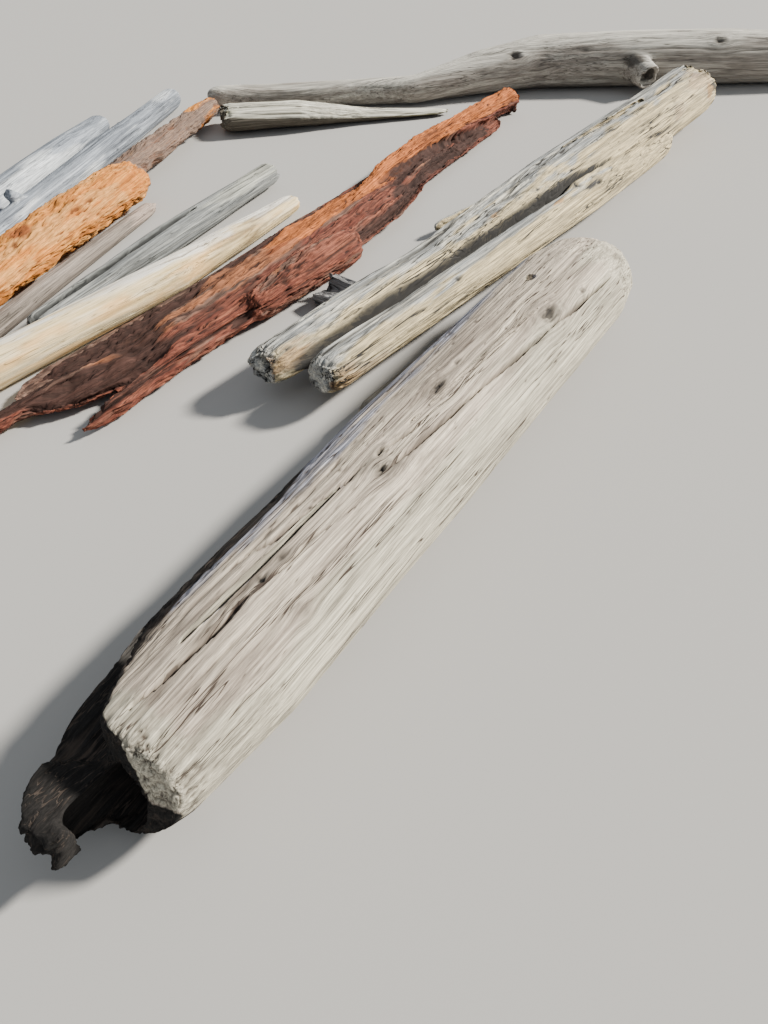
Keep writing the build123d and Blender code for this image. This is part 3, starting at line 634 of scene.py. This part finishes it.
# Painted highlight: more of the paler tone on the flank that faces the sun.
log.zone("light", step(0.25, 0.6, log.side), amount=0.6, rough=0.5)
log.spot("dark", 548, 312, along=0.06, across=0.028, amount=0.4)
log.spot("dark", 365, 466, along=0.07, across=0.014, amount=0.45)
log.spot("dark", 394, 466, along=0.05, across=0.014, amount=0.5)
log.lines(0.35 + 0.65 * step(0.05, 0.5, -log.side), spacing=0.014, depth=0.003, dark=0.7)
left = step(-0.05, 0.25, -log.side)
log.pits(left * step(0.4, 0.6, log.along), size=0.008, depth=0.002, few=0.38)
log.pits(1.0, size=0.005, depth=0.0015, few=0.62)
log.weather(0.9, coarse=0.038)
log.finish(wood("front_wood", base=(0.69, 0.58, 0.475), pale=(0.85, 0.735, 0.585), dark=(0.20, 0.15, 0.12),
                accent=(0.48, 0.49, 0.58), light=(0.78, 0.73, 0.57), black=(0.02, 0.018, 0.017),
                streak=1.2, checks=1.5, gape=1.4))

# Forked log
log = Log("forked_log", yaw=-3.0, faces=185000, seed=23)
notched = step(2.3, 2.5, log.along) * (1.0 - step(2.95, 3.1, log.along)) * (log.across < -0.04)
log.soften(notched, rounds=60)
log.ends(near=0.03, far=0.10, size=0.05)
log.cubes(0.45 * step(3.2, 3.34, log.along), depth=0.03, size=0.035)
# Painted highlight: cream on the flanks that face the sun, a little more on the far part.
log.zone("light", 0.5 + 1.2 * (log.side - 0.16) + 0.12 * step(1.6, 2.6, log.along),
         amount=0.9, rough=0.6, size=0.03)
for px, py, along, across, amount in (
        (266, 366, 0.05, 0.03, 0.6), (288, 360, 0.12, 0.045, 0.75), (350, 380, 0.14, 0.045, 0.75),
        (306, 350, 0.08, 0.02, 0.5), (374, 364, 0.10, 0.025, 0.5), (345, 372, 0.07, 0.02, 0.6),
        (495, 214, 0.05, 0.012, 0.8), (700, 78, 0.16, 0.09, 0.55), (680, 110, 0.08, 0.05, 0.5),
        (560, 200, 0.07, 0.012, 0.8), (712, 92, 0.06, 0.06, 0.8)):
    log.spot("accent", px, py, along, across, amount, rough=0.6)
log.marks["light"] *= 1.0 - 0.9 * log.marks["accent"]
for px, py, along, across, amount in (
        (249, 372, 0.04, 0.024, 0.4), (303, 386, 0.04, 0.025, 0.5), (330, 390, 0.04, 0.02, 0.5),
        (594, 183, 0.07, 0.012, 0.9), (716, 84, 0.03, 0.03, 0.7)):
    log.spot("dark", px, py, along, across, amount, rough=0.6)
for px, py, radius, hole, mound in (
        (600, 180, 0.020, 0.016, 0.004), (578, 184, 0.014, 0.012, 0.003), (538, 188, 0.011, 0.008, 0.002),
        (288, 348, 0.008, 0.008, 0.001), (459, 278, 0.010, 0.006, 0.002)):
    log.knot(px, py, radius, hole, mound)
# Painted shade darkens the cleft between the stems, which is also cut deeper.
log.cleft([(-1.8, -0.735), (-1.368, -0.75), (-1.008, -0.768), (-0.738, -0.78), (-0.558, -0.798),
           (-0.378, -0.816), (0.0, -0.835), (0.3, -0.85)], width=0.019, depth=0.055, fade=0.7)
log.crack([(552, 158), (600, 124), (650, 94), (690, 74)], width=0.016, depth=0.03, sway=0.003)
log.crack([(440, 240), (480, 205), (530, 170), (585, 130)], width=0.007, depth=0.02, sway=0.006)
log.crack([(300, 330), (350, 292), (400, 262), (440, 240)], width=0.006, depth=0.016, sway=0.006)
upper = step(-0.2, 0.35, -log.side)
log.lines(0.35 + 0.65 * upper, spacing=0.034, depth=0.012, dark=1.0, sharp=0.3)
log.pits(1.0, size=0.008, depth=0.003, few=0.5)
log.lines(0.55 + 0.45 * upper, spacing=0.012, depth=0.003, dark=0.85)
log.weather(1.4, coarse=0.034)
log.finish(wood("forked_wood", base=(0.62, 0.65, 0.66), pale=(0.90, 0.86, 0.74), dark=(0.11, 0.105, 0.10),
                accent=(0.62, 0.33, 0.12), light=(0.97, 0.78, 0.43), streak=1.35, checks=1.5, gape=3.0))

# Small pole
log = Log("small_pole", yaw=1.5, faces=20000, seed=31)
log.ends(near=0.006, far=0.01, size=0.03)
log.weather(0.5, coarse=0.03)
log.finish(wood("small_wood", base=(0.24, 0.22, 0.18), pale=(0.38, 0.35, 0.29), dark=(0.08, 0.07, 0.06),
                accent=(0.1, 0.1, 0.08), light=(0.45, 0.42, 0.35)))

# Grey block
log = Log("grey_block", yaw=87.0, faces=24000, seed=37, bend=1)
log.ends(near=0.01, far=0.01, size=0.02)
log.weather(2.0, coarse=0.02)
log.lines(1.0, spacing=0.012, depth=0.003)
log.finish(wood("block_wood", base=(0.30, 0.30, 0.31), pale=(0.50, 0.49, 0.48), dark=(0.05, 0.048, 0.045),
                accent=(0.1, 0.1, 0.08), light=(0.4, 0.4, 0.38)))

# Red log
log = Log("red_log", yaw=0.0, faces=160000, seed=41)
log.ends(near=0.05, far=0.05, size=0.04)
left = step(-0.01, 0.03, log.across + 0.10 * step(2.5, 3.4, log.along))
far_half = step(1.2, 1.8, log.along)
log.zone("light", left * far_half * step(0.06, 0.10, log.co[:, 2]), rough=0.4)
log.zone("light", 0.75 * left * step(0.07, 0.115, log.co[:, 2]) * step(0.1, 0.5, log.along),
         amount=0.5, rough=0.7, size=0.03)
log.zone("accent", left * (1.0 - far_half), rough=0.5)
# Painted shade darkens the floor of the trough, which is also sunk and broken into rotted blocks.
trough = (1.0 - step(0.088, 0.115, log.co[:, 2])) * step(0.2, 0.6, log.normals[:, 2])
log.zone("dark", trough * 0.9, amount=0.85, rough=0.6, size=0.04, sink=0.004)
log.zone("accent", 0.25 + 0.5 * layered(log.grain, (0.9, 0.05, 0.05), 415),
         amount=0.8, rough=0.4, size=0.03)
log.height -= trough * 0.022 * np.abs(layered(log.grain, (0.9, 0.06, 0.06), 416)) * 2.0
log.cubes(trough, depth=0.008, size=0.03)
log.lines(1.0, spacing=0.016, depth=0.006)
log.pits(1.0, size=0.010, depth=0.006, few=0.35)
log.weather(1.5, coarse=0.026, lumps=0.010, lump_size=0.045)
log.finish(wood("red_wood", base=(0.255, 0.072, 0.048), pale=(0.35, 0.125, 0.078),
                dark=(0.075, 0.036, 0.028), accent=(0.24, 0.15, 0.115), light=(0.80, 0.24, 0.06),
                streak=1.2, gape=1.8))

# Pale pole
log = Log("pale_pole", yaw=0.0, faces=42000, seed=47)
log.ends(near=0.01, far=0.03, size=0.03)
log.zone("light", 0.5 - 0.7 * log.side + 0.15 * (log.along - 1.2), amount=0.9, rough=0.5)
log.crack([(212, 240), (180, 255), (140, 272), (110, 283)], width=0.006, depth=0.010)
log.zone("accent", 0.42 + 0.6 * (log.side - 0.3) - 0.15 * log.along, amount=0.8, rough=0.5)
log.lines(1.0, spacing=0.03, depth=0.002, dark=0.8, sharp=0.12)
log.weather(0.5, coarse=0.035)
log.finish(wood("pale_wood", base=(0.97, 0.74, 0.38), pale=(0.98, 0.84, 0.56), dark=(0.30, 0.20, 0.11),
                accent=(0.97, 0.60, 0.24), light=(0.98, 0.96, 0.91), streak=0.6))

# Grey pole
log = Log("grey_pole", yaw=7.5, faces=42000, seed=53)
log.ends(near=0.015, far=0.03, size=0.03)
near_tip = log.co[log.along < 0.06, 1]
middle = 0.5 * (near_tip.min() + near_tip.max())
# Painted shade darkens the split down the near metre of the pole, which is also cut deeper.
log.cleft([(log.start, middle), (log.start + 1.0, middle)], width=0.017, depth=0.06, fade=0.2, shade=1.3)
log.spot("light", 262, 168, along=0.25, across=0.05, amount=0.8, rough=0.6)
log.spot("light", 235, 190, along=0.2, across=0.04, amount=0.6, rough=0.6)
log.weather(0.9, coarse=0.03)
log.lines(1.0, spacing=0.016, depth=0.003)
log.finish(wood("grey_wood", base=(0.27, 0.285, 0.29), pale=(0.42, 0.43, 0.41), dark=(0.075, 0.08, 0.08),
                accent=(0.2, 0.2, 0.16), light=(0.66, 0.66, 0.56)))

# Thin pole
log = Log("thin_pole", yaw=16.0, faces=19000, seed=59)
log.ends(near=0.01, far=0.03, size=0.02)
log.spot("light", 143, 211, along=0.12, across=0.04, amount=0.9, rough=0.6)
log.weather(0.5, coarse=0.03)
log.finish(wood("thin_wood", base=(0.27, 0.23, 0.195), pale=(0.36, 0.31, 0.27), dark=(0.09, 0.075, 0.06),
                accent=(0.2, 0.2, 0.16), light=(0.55, 0.43, 0.36)))

# Orange log
log = Log("orange_log", yaw=15.5, faces=100000, seed=61)
log.ends(near=0.04, far=0.02, size=0.05)
core = step(1.45, 1.75, log.along)
brown = core + 0.4 * step(0.02, 0.09, log.across) - 0.5 * step(2.3, 2.5, log.along)
log.zone("accent", brown, rough=0.45)
flakes = 0.40 + 0.4 * layered(log.co, (0.12, 0.05, 0.05), 612)
log.zone("light", flakes * (1.0 - 0.8 * core), amount=0.6, rough=0.5, size=0.03)
log.lines(0.3 + 0.7 * core, spacing=0.016, depth=0.004, dark=0.7)
log.pits(1.0 - core, size=0.010, depth=0.006, few=0.4)
log.spot("dark", 18, 228, along=0.05, across=0.05)
log.weather(0.8, coarse=0.026, lumps=0.014, lump_size=0.05)
log.finish(wood("orange_wood", base=(0.80, 0.27, 0.045), pale=(0.86, 0.36, 0.08), dark=(0.36, 0.11, 0.03),
                accent=(0.25, 0.175, 0.14), light=(0.90, 0.50, 0.18), checks=0.3))

# Silver poles
for name, yaw, faces, seed, gleam in (("silver_pole", 22.0, 44000, 67, 0.0),
                                      ("short_silver_pole", 23.5, 33000, 71, 0.2)):
    log = Log(name, yaw, faces, seed)
    log.ends(near=0.01, far=0.015, size=0.03)
    if name == "silver_pole":
        log.knot(113, 122, radius=0.020, hole=0.012, mound=0.004)
        log.knot(45, 172, radius=0.012, hole=0.006, mound=0.002)
        log.spot("light", 155, 95, along=0.16, across=0.06, amount=0.9, rough=0.7)
    # Painted highlight: the light tone grows on the side that faces the sun, in patches along the grain, and
    # gleam raises it on the short pole.
    shine = 0.14 + 0.25 * log.side + 0.3 * layered(log.grain, (0.4, 0.03, 0.03), seed + 9)
    log.zone("light", shine + gleam, amount=0.9, rough=0.4)
    log.weather(0.55, coarse=0.035)
    # The blue in these colours is partly painted sky light on the shaded wood.
    log.finish(wood(name + "_wood", base=(0.24, 0.27, 0.32), pale=(0.41, 0.45, 0.51),
                    dark=(0.10, 0.11, 0.13), accent=(0.2, 0.2, 0.16), light=(0.86, 0.90, 0.93), rough=0.7))

# Hollow slab
log = Log("hollow_slab", yaw=-44.3, faces=52000, seed=73)
log.ends(near=0.05, far=0.03, size=0.03)
olive = 0.7 * (1.0 - step(-0.3, 0.2, log.normals[:, 2])) + 0.3 * (1.0 - step(0.1, 0.5, log.along))
log.zone("accent", olive, amount=0.8, rough=0.4)
log.crack([(228, 96), (300, 92), (360, 93), (420, 101)], width=0.010, depth=0.03, sway=0.008)
log.crack([(235, 106), (290, 101), (340, 104), (390, 108)], width=0.008, depth=0.02, sway=0.006)
log.lines(1.0, spacing=0.03, depth=0.014, dark=1.0, sharp=0.3)
# Painted shade darkens the hollow at the near end, on the faces that don't look up.
hollow = 1.0 - step(0.05, 0.22, log.along + 0.8 * (log.normals[:, 2] - 0.6))
log.zone("dark", hollow, amount=0.9, rough=0.6)
log.weather(1.6, coarse=0.035)
log.finish(wood("slab_wood", base=(0.86, 0.82, 0.67), pale=(0.95, 0.93, 0.80), dark=(0.16, 0.14, 0.11),
                accent=(0.36, 0.34, 0.17), light=(0.97, 0.96, 0.86), streak=1.1, gape=2.4))

# Cross log
log = Log("cross_log", yaw=-47.3, faces=80000, seed=79, bend=5)
log.soften(1.0 - step(0.02, 0.08, log.along), rounds=60)
# Painted highlight: paler on the faces that look up, in patches along the grain.
lit_top = 0.22 + 0.5 * step(0.2, 1.0, log.normals[:, 2]) + 0.25 * layered(log.grain, (0.5, 0.08, 0.08), 90)
log.zone("light", lit_top, amount=0.8, rough=0.4)
for px, py, radius, hole, mound, dark in (
        (516, 55, 0.030, 0.022, 0.006, 1.0), (721, 40, 0.030, 0.016, 0.010, 1.0),
        (586, 50, 0.010, 0.004, 0.002, 0.6), (540, 66, 0.035, 0.0, 0.006, 0.3)):
    log.knot(px, py, radius, hole, mound, dark)
# Painted shade inside the hollow of a broken branch stub.
log.spot("dark", 648, 72, along=0.045, across=0.05)
log.spot("dark", 634, 60, along=0.08, across=0.05, amount=0.8)
log.lines(0.6, spacing=0.02, depth=0.003, dark=0.6)
log.weather(0.7, coarse=0.05)
log.finish(wood("cross_wood", base=(0.45, 0.40, 0.35), pale=(0.60, 0.56, 0.49), dark=(0.13, 0.115, 0.10),
                accent=(0.2, 0.2, 0.16), light=(0.86, 0.83, 0.74), gape=1.6))
